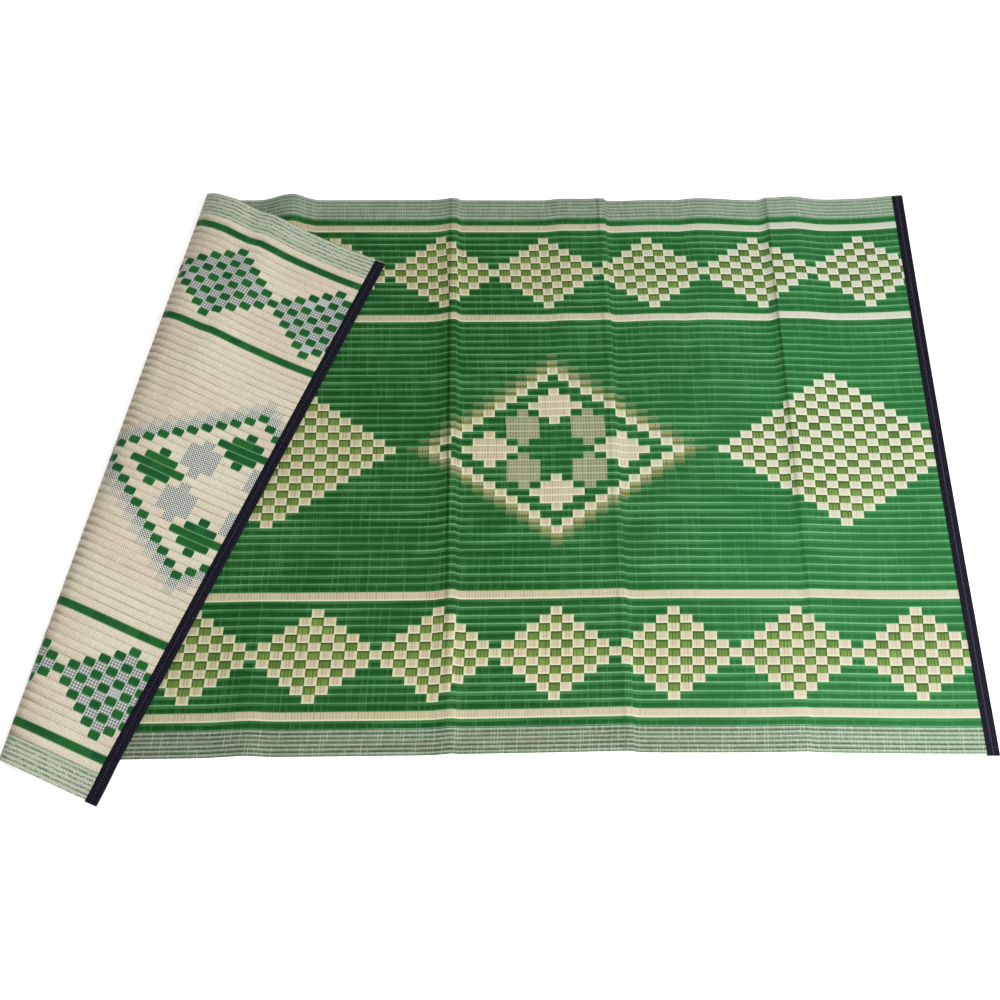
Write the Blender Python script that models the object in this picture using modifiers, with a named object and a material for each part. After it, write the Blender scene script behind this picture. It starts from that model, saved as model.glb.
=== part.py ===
"""A woven plastic picnic mat on the ground, with its left end folded over on a slanted line.

Metres. +X runs along the mat's ribs, +Y across them towards the back, and +Z is up. The origin is at
the bottom centre of the mat as it lies. "Along" and "across" are places on the cloth before it was
laid down: along starts at the binding of the folded end, and across is 0 on the middle rib.
"""

import math
from collections import namedtuple

import bmesh
import bpy
import numpy as np
from mathutils import Matrix, Vector

# The flat mat
RIB_PITCH = 0.0152
RIB_COUNT = 75
WIDTH = RIB_COUNT * RIB_PITCH
LENGTH = 1.808
THICKNESS = 0.0024
FRONT = -WIDTH / 2
BACK = WIDTH / 2

# Neither end is cut square: how far each cut lies along from its place, by the end of the mat
FOLDED_CUT_FRONT = -0.004
FOLDED_CUT_BACK = 0.020
FLAT_CUT_BACK = 0.004
CUT_REACH = 0.12

# The binding tape, folded round each cut end of the straws
TAPE_WIDTH = 0.020
TAPE_THICKNESS = 0.001
TAPE_GAP = 0.0003
TAPE_PAST_FRONT = 0.003
TAPE_PAST_BACK = -0.003
END_LIFT = TAPE_THICKNESS + TAPE_GAP
END_LIFT_REACH = 0.06

# The fold: its place on the middle rib, its slant, and the roundness of the bend
FOLD_ALONG = 0.298
FOLD_TILT = math.radians(11.8)
BEND_RADIUS_FRONT = 0.009
BEND_RADIUS_BACK = 0.0188
BEND_STEPS = 10
BEND_CLEAR = 0.02

# The folded end slopes from the top of the bend down to the layer below, or to the ground
SLOPE_SHARE = 0.92
LAYER_GAP = 0.0025
DROP_START = 0.002
DROP_REACH = 0.055

# Creases and soft humps left from packing. back and front are places along the mat, high_... are
# heights, left and right are how far the slopes reach, and sharp is 1 for a crease, 0 for a hump.
Crease = namedtuple("Crease", "back front high_back high_middle high_front left right sharp")
CREASES = (
    Crease(0.597, 0.577, 0.0200, 0.0003, 0.0090, 0.072, 0.044, 0),
    Crease(0.914, 0.908, 0.0070, 0.0105, 0.0040, 0.050, 0.020, 1),
    Crease(1.130, 1.120, 0.0050, 0.0020, 0.0000, 0.040, 0.070, 0),
    Crease(1.207, 1.203, 0.0080, 0.0065, 0.0065, 0.100, 0.016, 1),
    Crease(1.310, 1.310, 0.0025, 0.0045, 0.0000, 0.090, 0.110, 0),
    Crease(1.400, 1.390, 0.0070, 0.0030, 0.0000, 0.045, 0.110, 0),
    Crease(1.520, 1.497, 0.0000, 0.0000, 0.0045, 0.060, 0.014, 0),
    Crease(1.543, 1.529, 0.0080, 0.0080, 0.0000, 0.026, 0.150, 1),
    Crease(1.590, 1.580, 0.0070, 0.0000, 0.0000, 0.045, 0.060, 0),
    Crease(1.860, 1.860, 0.0140, 0.0020, 0.0000, 0.180, 0.050, 1),
)

# The folded end has one of its own
FOLDED_CREASES = (
    Crease(0.255, 0.225, 0.0080, 0.0030, 0.0000, 0.070, 0.024, 0),
    Crease(0.345, 0.200, 0.0080, 0.0000, 0.0000, 0.055, 0.035, 0),
)

# A sharp crease has a narrow flat top, and this is half its width
RIDGE_TOP = 0.006

# Where the two slopes of a crease or a hump have lines of points, as shares of the slope
SHARP_STEPS = (0, 0.2, 0.5, 1)
SOFT_STEPS = (0, 0.3, 0.6, 1)

# The two long edges wander a little, because the panels between the creases lie slightly turned.
# front and back are how far each edge lies from straight, measured towards the back.
Wander = namedtuple("Wander", "along front back")
WANDERS = (
    Wander(0.30, -0.0015, -0.0020),
    Wander(0.60, 0.0007, -0.0025),
    Wander(0.89, 0.0010, -0.0034),
    Wander(0.91, 0.0026, -0.0036),
    Wander(1.14, 0.0045, -0.0050),
    Wander(1.20, 0.0035, -0.0060),
    Wander(1.24, 0.0022, -0.0070),
    Wander(1.38, 0.0008, -0.0060),
    Wander(1.45, 0.0008, -0.0055),
    Wander(1.52, -0.0005, -0.0060),
    Wander(1.66, -0.0037, -0.0050),
    Wander(1.80, -0.0060, -0.0010),
)

# The straws along the back edge are woven loosely, so that edge lies a little further out
LOOSE_EDGE = 0.004
LOOSE_REACH = 0.055

# Spacing of the mesh
WIDEST_COLUMN = 0.05
WIDEST_FOLDED_COLUMN = 0.026
NARROWEST_COLUMN = 0.009
ROW_STEP = 0.066
FRONT_ROW_STEP = 0.013
FRONT_ROWS = 7
NORMAL_STEP = 0.0005

CLOTH_COLOUR = (0.045, 0.19, 0.055, 1)
TAPE_COLOUR = (0.012, 0.011, 0.024, 1)


def clear_scene():
    for thing in list(bpy.data.objects):
        bpy.data.objects.remove(thing, do_unlink=True)


def smooth(x):
    x = min(max(x, 0.0), 1.0)
    return x * x * (3 - 2 * x)


def between(front, back, across):
    """A value that goes evenly from the front edge to the back edge."""
    return front + (back - front) * (across - FRONT) / WIDTH


def crease_height(crease, across):
    """The crease's height, on a smooth curve through its back, middle and front heights."""
    q = (across - FRONT) / WIDTH
    front = crease.high_front * (1 - q) * (1 - 2 * q)
    middle = crease.high_middle * 4 * q * (1 - q)
    back = crease.high_back * q * (2 * q - 1)
    return max(0.0, front + middle + back)


def cut_places(across):
    """The places along the mat where its folded end and its flat end are cut."""
    share = (across - FRONT) / WIDTH
    return between(FOLDED_CUT_FRONT, FOLDED_CUT_BACK, across), LENGTH + FLAT_CUT_BACK * share**3


def trimmed(along, across):
    """A place along the mat, moved so that 0 and LENGTH come to lie on the two cuts."""
    folded_cut, flat_cut = cut_places(across)
    near_folded = smooth(1 - (along - TAPE_WIDTH) / CUT_REACH)
    near_flat = smooth(1 - (LENGTH - along - TAPE_WIDTH) / CUT_REACH)
    return along + folded_cut * near_folded + (flat_cut - LENGTH) * near_flat


def lift(creases, along, across):
    """How far the creases, the humps and the thickness of the binding raise the cloth."""
    total = 0.0
    for crease in creases:
        offset = along - between(crease.front, crease.back, across)
        top = RIDGE_TOP if crease.sharp else 0.0
        x = max(abs(offset) - top, 0.0) / ((crease.left if offset < 0 else crease.right) - top)
        if x < 1:
            ridge = (1 - x) ** 2
            hump = 0.5 * (1 + math.cos(math.pi * x))
            total += crease_height(crease, across) * (ridge if crease.sharp else hump)
    folded_cut, flat_cut = cut_places(across)
    from_end = min(along - folded_cut, flat_cut - along)
    return total + END_LIFT * smooth(1 - (from_end - TAPE_WIDTH) / END_LIFT_REACH)


def wandered(along, across):
    """The place across the mat, moved as its two long edges wander and its back edge is loose."""
    places = [w.along for w in WANDERS]
    front = float(np.interp(along, places, [w.front for w in WANDERS]))
    back = float(np.interp(along, places, [w.back for w in WANDERS]))
    loose = LOOSE_EDGE * smooth(1 - (BACK - across) / LOOSE_REACH)
    return across + between(front, back, across) + loose


# The fold line runs in this direction, towards the back, and this way out of it
FOLD_POINT = Vector((FOLD_ALONG, 0))
FOLD_DIRECTION = Vector((math.sin(FOLD_TILT), math.cos(FOLD_TILT)))
FOLD_OUT = Vector((-math.cos(FOLD_TILT), math.sin(FOLD_TILT)))


def bend_radius(place):
    """The bend's radius at a place along the fold line, 0 on the middle rib."""
    reach = WIDTH / (2 * math.cos(FOLD_TILT))
    share = min(max((place + reach) / (2 * reach), 0.0), 1.0)
    return BEND_RADIUS_FRONT + (BEND_RADIUS_BACK - BEND_RADIUS_FRONT) * share


def flap_height(plan, past_bend, place, radius):
    """Height of the folded end, which slopes down and comes to rest on the layer below."""
    past_edge = (wandered(0, FRONT) - plan.y - DROP_START) / DROP_REACH
    on_cloth = 1.5 * THICKNESS + LAYER_GAP
    rest = on_cloth + (THICKNESS / 2 - on_cloth) * smooth(past_edge)
    to_end = (FOLD_ALONG + place * math.sin(FOLD_TILT)) / math.cos(FOLD_TILT)
    slope = SLOPE_SHARE * (to_end - math.pi * radius / 2)
    share = min(max(past_bend / slope, 0.0), 1.0)
    top = THICKNESS / 2 + 2 * radius
    return rest + (top - rest) * 0.5 * (1 + math.cos(math.pi * share))


def cloth_point(along, across):
    """Where a point of the cloth's middle surface lies."""
    flat = Vector((along, wandered(along, across)))
    out = (flat - FOLD_POINT).dot(FOLD_OUT)
    place = (flat - FOLD_POINT).dot(FOLD_DIRECTION)
    radius = bend_radius(place)
    quarter = math.pi * radius / 2
    foot = flat - out * FOLD_OUT
    if out <= -quarter:
        return Vector((flat.x, flat.y, THICKNESS / 2 + lift(CREASES, along, across)))
    if out < quarter:
        turn = (out + quarter) / radius
        plan = foot + (radius * math.sin(turn) - quarter) * FOLD_OUT
        height = THICKNESS / 2 + radius * (1 - math.cos(turn))
    else:
        plan = foot - out * FOLD_OUT
        past_bend = out - quarter
        height = flap_height(plan, past_bend, place, radius)
        height += lift(FOLDED_CREASES, along, across) * smooth(past_bend / BEND_CLEAR)
    return Vector((plan.x, plan.y, height))


def cloth_normal(along, across):
    forward = cloth_point(along + NORMAL_STEP, across) - cloth_point(along - NORMAL_STEP, across)
    sideways = cloth_point(along, across + NORMAL_STEP) - cloth_point(along, across - NORMAL_STEP)
    return forward.cross(sideways).normalized()


def crease_columns():
    """Pairs of places along the mat, at the front and at the back edge, with a line of points each."""
    found = []
    for crease in CREASES:
        top = RIDGE_TOP if crease.sharp else 0.0
        for side, reach in ((-1, crease.left), (1, crease.right)):
            for share in SHARP_STEPS if crease.sharp else SOFT_STEPS:
                offset = side * (top + share * (reach - top))
                rank = 0 if share == 0 and crease.sharp else 1
                found.append((rank, crease.front + offset, crease.back + offset))
    return found


def bend_columns():
    """The columns that follow the slanted bend, at even turns."""
    found = []
    for step in range(BEND_STEPS + 1):
        turn = step / BEND_STEPS - 0.5
        places = []
        for across, radius in ((FRONT, BEND_RADIUS_FRONT), (BACK, BEND_RADIUS_BACK)):
            line = FOLD_ALONG + wandered(FOLD_ALONG, across) * math.tan(FOLD_TILT)
            places.append(line - turn * math.pi * radius / math.cos(FOLD_TILT))
        found.append((0, *places))
    return found


def cloth_columns():
    """Places along the mat, at the front and at the back edge, that have a line of points each."""
    bend = bend_columns()
    ends = [(0, x, x) for x in (LENGTH - TAPE_WIDTH, LENGTH)]
    inside = [c for c in crease_columns() if max(c[1:]) < LENGTH - NARROWEST_COLUMN]
    chosen = []
    for column in sorted(bend + ends + inside, key=lambda c: c[1] + c[2]):
        while chosen and chosen[-1][0] > column[0] and column[2] - chosen[-1][2] < NARROWEST_COLUMN:
            chosen.pop()
        near = chosen and min(column[1] - chosen[-1][1], column[2] - chosen[-1][2]) < NARROWEST_COLUMN
        if column[0] == 0 or not near:
            chosen.append(column)
    tape_edge = (TAPE_WIDTH, TAPE_WIDTH)
    folded = filled([tape_edge, chosen[0][1:]], WIDEST_FOLDED_COLUMN)
    flat = filled([column[1:] for column in chosen], WIDEST_COLUMN)
    return [(0.0, 0.0), *folded, *flat[1:]]


def filled(columns, widest):
    """The same columns, with more between them where they are wider apart than widest."""
    found = [columns[0]]
    for front, back in columns[1:]:
        from_front, from_back = found[-1]
        parts = math.ceil(max(front - from_front, back - from_back) / widest)
        for part in range(1, parts + 1):
            share = part / parts
            found.append(
                (from_front + (front - from_front) * share, from_back + (back - from_back) * share)
            )
    return found


def cloth_rows():
    """Places across the mat, closer together at the front, where the folded end reaches the ground."""
    fine_end = FRONT + FRONT_ROWS * FRONT_ROW_STEP
    fine = [FRONT + i * FRONT_ROW_STEP for i in range(FRONT_ROWS)]
    count = round((BACK - fine_end) / ROW_STEP)
    return fine + list(np.linspace(fine_end, BACK, count + 1))


def grid_object(name, columns, rows, place, thickness, offset, material):
    """A grid of columns by rows, moved point by point by place(column, row), and made solid."""
    mesh = bpy.data.meshes.new(name)
    bm = bmesh.new()
    bmesh.ops.create_grid(bm, x_segments=columns - 1, y_segments=rows - 1, size=1)
    for vertex in bm.verts:
        column = round((vertex.co.x + 1) / 2 * (columns - 1))
        row = round((vertex.co.y + 1) / 2 * (rows - 1))
        vertex.co = place(column, row)
    bm.to_mesh(mesh)
    bm.free()
    mesh.shade_smooth()
    mesh.materials.append(material)
    thing = bpy.data.objects.new(name, mesh)
    solidify = thing.modifiers.new("thickness", "SOLIDIFY")
    solidify.thickness = thickness
    solidify.offset = offset
    solidify.use_even_offset = True
    return thing


def make_cloth(rows, material):
    columns = cloth_columns()

    def place(column, row):
        front, back = columns[column]
        across = rows[row]
        return cloth_point(trimmed(between(front, back, across), across), across)

    return grid_object("mat_cloth", len(columns), len(rows), place, THICKNESS, 0, material)


def tape_profile():
    """Places round the cut end: how far past it, and how far off the cloth's middle surface."""
    face = THICKNESS / 2 + TAPE_GAP
    top = [(-TAPE_WIDTH, face), (0.0, face)]
    turn = [math.pi / 2 - math.pi * i / 4 for i in range(1, 4)]
    nose = [(TAPE_GAP + face * math.cos(a), face * math.sin(a)) for a in turn]
    return top + nose + [(0.0, -face), (-TAPE_WIDTH, -face)]


def make_binding(name, end, outwards, rows, material):
    """A strip of tape folded round the end of the cloth, from its upper face to its lower face."""
    profile = tape_profile()
    rows = [rows[0] - TAPE_PAST_FRONT, *rows[1:-1], rows[-1] + TAPE_PAST_BACK]

    def place(column, row):
        past, off = profile[column]
        across = rows[row]
        along = trimmed(end + outwards * past, across)
        return cloth_point(along, across) + off * cloth_normal(along, across)

    return grid_object(name, len(profile), len(rows), place, TAPE_THICKNESS, outwards, material)


def make_material(name, colour, roughness):
    material = bpy.data.materials.new(name)
    material.use_nodes = True
    shader = material.node_tree.nodes["Principled BSDF"]
    shader.inputs["Base Color"].default_value = colour
    shader.inputs["Roughness"].default_value = roughness
    shader.inputs["Metallic"].default_value = 0.0
    return material


def centre_on_ground(things):
    """Moves every mesh so that the origin is at the bottom centre of the whole mat."""
    bpy.context.view_layer.update()
    graph = bpy.context.evaluated_depsgraph_get()
    corners = []
    for thing in things:
        seen = thing.evaluated_get(graph).to_mesh()
        corners += [vertex.co.copy() for vertex in seen.vertices]
        thing.evaluated_get(graph).to_mesh_clear()
    low = Vector(min(c[i] for c in corners) for i in range(3))
    high = Vector(max(c[i] for c in corners) for i in range(3))
    shift = Vector((-(low.x + high.x) / 2, -(low.y + high.y) / 2, -low.z))
    for thing in things:
        thing.data.transform(Matrix.Translation(shift))


def main():
    clear_scene()
    cloth_material = make_material("woven_straw", CLOTH_COLOUR, 0.45)
    tape_material = make_material("binding_tape", TAPE_COLOUR, 0.75)
    rows = cloth_rows()
    things = [
        make_cloth(rows, cloth_material),
        make_binding("binding_flat_end", LENGTH, 1, rows, tape_material),
        make_binding("binding_folded_end", 0.0, -1, rows, tape_material),
    ]
    collection = bpy.data.collections.new("picnic_mat")
    bpy.context.scene.collection.children.link(collection)
    for thing in things:
        collection.objects.link(thing)
    centre_on_ground(things)


main()
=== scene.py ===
# %% [markdown]
# # A woven plastic picnic mat
# The mat is woven on a loom from flat plastic straws, green on the face and cream on the reverse. Thin
# threads cross the straws and hold them, and wherever the green and cream straws change sides, a block
# of the pattern shows. The mat lies on the ground with its left end folded over on a slant, so both
# sides are seen. Dark tape is sewn round its two cut ends.
#
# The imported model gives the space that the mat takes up. This script dresses it: one thin sheet on the
# same folds, two tapes, and their sewing thread.

import math
from collections import namedtuple
from types import SimpleNamespace

import bpy
import numpy as np
from mathutils import Matrix, Vector


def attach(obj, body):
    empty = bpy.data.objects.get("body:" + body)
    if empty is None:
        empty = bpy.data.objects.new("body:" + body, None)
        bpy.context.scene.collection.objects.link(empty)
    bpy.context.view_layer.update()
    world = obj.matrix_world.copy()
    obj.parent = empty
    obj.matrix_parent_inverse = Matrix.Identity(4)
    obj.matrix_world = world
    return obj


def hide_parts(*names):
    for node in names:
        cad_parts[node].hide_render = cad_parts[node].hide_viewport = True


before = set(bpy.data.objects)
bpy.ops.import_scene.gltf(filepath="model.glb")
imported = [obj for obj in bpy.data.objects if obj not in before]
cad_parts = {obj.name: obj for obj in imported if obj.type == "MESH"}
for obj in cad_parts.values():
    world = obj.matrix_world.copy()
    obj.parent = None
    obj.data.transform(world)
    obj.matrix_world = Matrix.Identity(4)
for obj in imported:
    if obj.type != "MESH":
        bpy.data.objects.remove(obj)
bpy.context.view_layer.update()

# %% [markdown]
# ## How the mat lies
# A flat point of the mat has two places: "along" its ribs, from the folded end, and "across" them, from
# the middle rib. Creases from the packet raise it a little, and past the slanted fold line the sheet
# turns round a bend and comes back over itself. The numbers are those of the solid, so the sheet lies
# where the solid does. Lengths are in metres. The functions work on whole arrays of places at once, which
# is quick.

# %% The sizes of the mat
RIB_PITCH = 0.0152
RIB_COUNT = 75
WIDTH = RIB_COUNT * RIB_PITCH
LENGTH = 1.808
SOLID_THICKNESS = 0.0024
FRONT = -WIDTH / 2
BACK = WIDTH / 2
FOLDED_CUT_FRONT = -0.004
FOLDED_CUT_BACK = 0.020
FLAT_CUT_BACK = 0.004
CUT_REACH = 0.12
TAPE_WIDTH = 0.020
END_LIFT = 0.0013
END_LIFT_REACH = 0.06
FOLD_ALONG = 0.298
FOLD_TILT = math.radians(11.8)
BEND_RADIUS_FRONT = 0.009
BEND_RADIUS_BACK = 0.0188
BEND_CLEAR = 0.02
SLOPE_SHARE = 0.92
RIDGE_TOP = 0.006
LOOSE_EDGE = 0.004
LOOSE_REACH = 0.055
LAYER_GAP = 0.0025
DROP_START = 0.002
DROP_REACH = 0.055
CENTRE_SHIFT = (-0.99865, 0.03775, 0.0)
print(f"flat, the mat is {LENGTH:.2f} m by {WIDTH:.2f} m, with {RIB_COUNT} ribs")

# %% The creases, and how the long edges wander
Crease = namedtuple("Crease", "back front high_back high_middle high_front left right sharp")
CREASES = (
    Crease(0.597, 0.577, 0.0200, 0.0003, 0.0090, 0.072, 0.044, 0),
    Crease(0.914, 0.908, 0.0070, 0.0105, 0.0040, 0.050, 0.020, 1),
    Crease(1.130, 1.120, 0.0050, 0.0020, 0.0000, 0.040, 0.070, 0),
    Crease(1.207, 1.203, 0.0080, 0.0065, 0.0065, 0.100, 0.016, 1),
    Crease(1.310, 1.310, 0.0025, 0.0045, 0.0000, 0.090, 0.110, 0),
    Crease(1.400, 1.390, 0.0070, 0.0030, 0.0000, 0.045, 0.110, 0),
    Crease(1.520, 1.497, 0.0000, 0.0000, 0.0045, 0.060, 0.014, 0),
    Crease(1.543, 1.529, 0.0080, 0.0080, 0.0000, 0.026, 0.150, 1),
    Crease(1.590, 1.580, 0.0070, 0.0000, 0.0000, 0.045, 0.060, 0),
    Crease(1.860, 1.860, 0.0140, 0.0020, 0.0000, 0.180, 0.050, 1),
)
FOLDED_CREASES = (
    Crease(0.255, 0.225, 0.0080, 0.0030, 0.0000, 0.070, 0.024, 0),
    Crease(0.345, 0.200, 0.0080, 0.0000, 0.0000, 0.055, 0.035, 0),
)
MM = 0.001
# Each row is a place along the mat, and how far the front and the back edge wander there, in mm.
WANDERS = (
    (0.30, -1.5, -2.0),
    (0.60, 0.7, -2.5),
    (0.89, 1.0, -3.4),
    (0.91, 2.6, -3.6),
    (1.14, 4.5, -5.0),
    (1.20, 3.5, -6.0),
    (1.24, 2.2, -7.0),
    (1.38, 0.8, -6.0),
    (1.45, 0.8, -5.5),
    (1.52, -0.5, -6.0),
    (1.66, -3.7, -5.0),
    (1.80, -6.0, -1.0),
)
print("creases:", len(CREASES), "on the flat part and", len(FOLDED_CREASES), "on the folded end")


# %% How high the creases are, and where the cuts lie
def smooth(x):
    x = np.clip(x, 0, 1)
    return x * x * (3 - 2 * x)


def between(front, back, across):
    return front + (back - front) * (across - FRONT) / WIDTH


def crease_height(crease, across):
    """The crease's height, on a smooth curve through its back, middle and front heights."""
    q = (across - FRONT) / WIDTH
    front = crease.high_front * (1 - q) * (1 - 2 * q)
    middle = crease.high_middle * 4 * q * (1 - q)
    back = crease.high_back * q * (2 * q - 1)
    return np.maximum(0, front + middle + back)


def cut_places(across):
    share = (across - FRONT) / WIDTH
    return between(FOLDED_CUT_FRONT, FOLDED_CUT_BACK, across), LENGTH + FLAT_CUT_BACK * share**3


print(f"at the middle, the first crease is {crease_height(CREASES[0], 0.0) * 1000:.1f} mm high")


# %% What moves and raises a point of the mat
def trimmed(along, across):
    """A place along the mat, moved so that 0 and LENGTH come to lie on the two cuts."""
    folded_cut, flat_cut = cut_places(across)
    near_folded = smooth(1 - (along - TAPE_WIDTH) / CUT_REACH)
    near_flat = smooth(1 - (LENGTH - along - TAPE_WIDTH) / CUT_REACH)
    return along + folded_cut * near_folded + (flat_cut - LENGTH) * near_flat


def lift(creases, along, across):
    """How far the creases and the thickness of the binding raise the mat."""
    total = np.zeros(np.broadcast(along, across).shape)
    for crease in creases:
        offset = along - between(crease.front, crease.back, across)
        top = RIDGE_TOP if crease.sharp else 0.0
        x = (np.abs(offset) - top) / (np.where(offset < 0, crease.left, crease.right) - top)
        x = np.clip(x, 0, 1)
        shape = (1 - x) ** 2 if crease.sharp else 0.5 * (1 + np.cos(np.pi * x))
        total = total + crease_height(crease, across) * shape
    folded_cut, flat_cut = cut_places(across)
    from_end = np.minimum(along - folded_cut, flat_cut - along)
    return total + END_LIFT * smooth(1 - (from_end - TAPE_WIDTH) / END_LIFT_REACH)


def looked_up(table, place):
    """Finds a place in a table's first column, and reads its other columns there, in metres."""
    first, *others = zip(*table)
    return [np.interp(place, first, column) * MM for column in others]


def wandered(along, across):
    front, back = looked_up(WANDERS, along)
    loose = LOOSE_EDGE * smooth(1 - (BACK - across) / LOOSE_REACH)
    return across + between(front, back, across) + loose


print(f"halfway along, the front edge lies {(wandered(LENGTH / 2, FRONT) - FRONT) * 1000:.1f} mm inwards")


# %% The bend
def bend_radius(place):
    reach = WIDTH / (2 * math.cos(FOLD_TILT))
    share = np.clip((place + reach) / (2 * reach), 0, 1)
    return BEND_RADIUS_FRONT + (BEND_RADIUS_BACK - BEND_RADIUS_FRONT) * share


def round_bend(along, across):
    """How far past the fold line a point is, its place along that line, the bend's radius, and its turn."""
    tilt_sin, tilt_cos = math.sin(FOLD_TILT), math.cos(FOLD_TILT)
    past_line = -(along - FOLD_ALONG) * tilt_cos + wandered(along, across) * tilt_sin
    place = (along - FOLD_ALONG) * tilt_sin + wandered(along, across) * tilt_cos
    radius = bend_radius(place)
    return past_line, place, radius, np.clip(past_line / radius + np.pi / 2, 0, np.pi)


def folded_height(plan_y, past_bend, place, radius):
    """The folded end slopes down and comes to rest on the layer below, or on the ground."""
    past_edge = (wandered(0.0, FRONT) - plan_y - DROP_START) / DROP_REACH
    on_cloth = 1.5 * SOLID_THICKNESS + LAYER_GAP
    rest = on_cloth + (SOLID_THICKNESS / 2 - on_cloth) * smooth(past_edge)
    to_end = (FOLD_ALONG + place * math.sin(FOLD_TILT)) / math.cos(FOLD_TILT)
    slope = SLOPE_SHARE * (to_end - np.pi * radius / 2)
    share = np.clip(past_bend / slope, 0, 1)
    top = SOLID_THICKNESS / 2 + 2 * radius
    return rest + (top - rest) * 0.5 * (1 + np.cos(np.pi * share))


radii = bend_radius(np.array([-WIDTH, WIDTH])) * 1000
print(f"the bend's radius grows from {radii[0]:.0f} mm at the front to {radii[1]:.0f} mm at the back")

# %% Where a point of the mat lies
NORMAL_STEP = 0.0005


def lie(along, across):
    """The points of the mat's middle surface, as an array of x, y and z."""
    along, across = np.broadcast_arrays(np.asarray(along, float), np.asarray(across, float))
    out, place, radius, turn = round_bend(along, across)
    quarter = np.pi * radius / 2
    past_bend = np.maximum(out - quarter, 0)
    moved = np.where(out < -quarter, out, radius * np.sin(turn) - quarter - past_bend)
    plan_x = along + (out - moved) * math.cos(FOLD_TILT)
    plan_y = wandered(along, across) - (out - moved) * math.sin(FOLD_TILT)
    flat_high = SOLID_THICKNESS / 2 + lift(CREASES, along, across)
    bend_high = SOLID_THICKNESS / 2 + radius * (1 - np.cos(turn))
    folded_high = folded_height(plan_y, past_bend, place, radius)
    folded_high = folded_high + lift(FOLDED_CREASES, along, across) * smooth(past_bend / BEND_CLEAR)
    high = np.where(out <= -quarter, flat_high, np.where(out < quarter, bend_high, folded_high))
    return np.stack([plan_x, plan_y, high], axis=-1) + np.array(CENTRE_SHIFT)


def outwards(along, across):
    """The direction out of the face, at each place."""
    forward = lie(along + NORMAL_STEP, across) - lie(along - NORMAL_STEP, across)
    sideways = lie(along, across + NORMAL_STEP) - lie(along, across - NORMAL_STEP)
    normal = np.cross(forward, sideways)
    return normal / np.linalg.norm(normal, axis=-1, keepdims=True)


corners = lie(np.array([0.0, 0.0, LENGTH, LENGTH]), np.array([FRONT, BACK, FRONT, BACK]))
print("the four corners lie at", corners.round(3).tolist())

# %% [markdown]
# ## The camera
# It looks down on the mat from the front, a little under 63 degrees below the horizon. Its place and its
# focal length were worked out from the pattern's even spacing and from the folded end, which is the same
# pattern turned over.

# %% Set up the camera
FOCAL_PIXELS = 1400
IMAGE_PIXELS = 1000
SENSOR = 36.0
CAMERA_PLACE = Vector((-0.0453, -1.2001, 2.2214))
CAMERA_YAW = -0.0388
CAMERA_DOWN = 1.0979
CAMERA_ROLL = 0.0279


def aim(yaw, down, roll):
    """The camera's axes as the columns of a matrix: right, up, and backwards."""
    ahead = Vector((-math.sin(yaw) * math.cos(down), math.cos(yaw) * math.cos(down), -math.sin(down)))
    right = Vector((math.cos(yaw), math.sin(yaw), 0))
    up = right.cross(ahead)
    turned_right = math.cos(roll) * right + math.sin(roll) * up
    turned_up = math.cos(roll) * up - math.sin(roll) * right
    return Matrix((turned_right, turned_up, -ahead)).transposed()


camera_data = bpy.data.cameras.new("camera")
camera_data.sensor_width = SENSOR
camera_data.sensor_fit = "HORIZONTAL"
camera_data.lens = SENSOR * FOCAL_PIXELS / IMAGE_PIXELS
camera = bpy.data.objects.new("camera", camera_data)
camera.matrix_world = aim(CAMERA_YAW, CAMERA_DOWN, CAMERA_ROLL).to_4x4()
camera.location = CAMERA_PLACE
bpy.context.scene.collection.objects.link(camera)
bpy.context.scene.camera = camera
print(f"lens {camera_data.lens:.1f} mm")

# %% [markdown]
# ## Numbers in a node tree
# The pattern and the straws are worked out in Math nodes. Written one by one they would fill pages, so a
# small class lets Python sums build them: a sum of two of its numbers adds an Add node, and so on. For
# every other kind of node there is one helper, which sets the node up and links what feeds it.

# %% A number that a node tree works out
class Number:
    """A socket that holds a number. Sums and comparisons with it add Math nodes to its tree."""

    def __init__(self, tree, socket):
        self.tree = tree
        self.socket = socket

    def math(self, operation, *others):
        return math_node(self.tree, operation, self, *others)

    def __add__(self, other):
        return self.math("ADD", other)

    def __sub__(self, other):
        return self.math("SUBTRACT", other)

    def __rsub__(self, other):
        return math_node(self.tree, "SUBTRACT", other, self)

    def __mul__(self, other):
        return self.math("MULTIPLY", other)

    def __lt__(self, other):
        return self.math("LESS_THAN", other)

    def __gt__(self, other):
        return self.math("GREATER_THAN", other)

    def __abs__(self):
        return self.math("ABSOLUTE")

    __radd__ = __add__
    __rmul__ = __mul__


print("a Number adds Math nodes for +, -, *, <, > and abs")


# %% Add nodes and feed them
def feed(tree, socket, value):
    """Puts a plain value, a socket or a Number into a node's socket."""
    if isinstance(value, Number):
        tree.links.new(value.socket, socket)
    elif isinstance(value, bpy.types.NodeSocket):
        tree.links.new(value, socket)
    else:
        socket.default_value = value


def feed_all(tree, node, values):
    """Feeds a node's inputs, which are called by name or by number."""
    for socket, value in values.items():
        feed(tree, node.inputs[socket], value)


def added(tree, kind, inputs, output=0, **settings):
    """Adds a node with its settings, feeds its inputs, and returns one of its outputs."""
    node = tree.nodes.new(kind)
    for name, value in settings.items():
        setattr(node, name, value)
    feed_all(tree, node, inputs)
    return node.outputs[output]


def math_node(tree, operation, *terms):
    inputs = dict(enumerate(terms))
    return Number(tree, added(tree, "ShaderNodeMath", inputs, operation=operation))


print("a sum of numbers now builds its own nodes")


# %% Masks from numbers
NEAR_CORE = 0.35
EDGE_CORE = 0.3


def equal(number, whole):
    return number.math("COMPARE", whole, 0.5)


def odd(number):
    """1 for an odd whole number. The quarter keeps one that falls just short of it from changing sides."""
    return (number + 0.25).math("MODULO", 2.0) > 1.0


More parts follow.
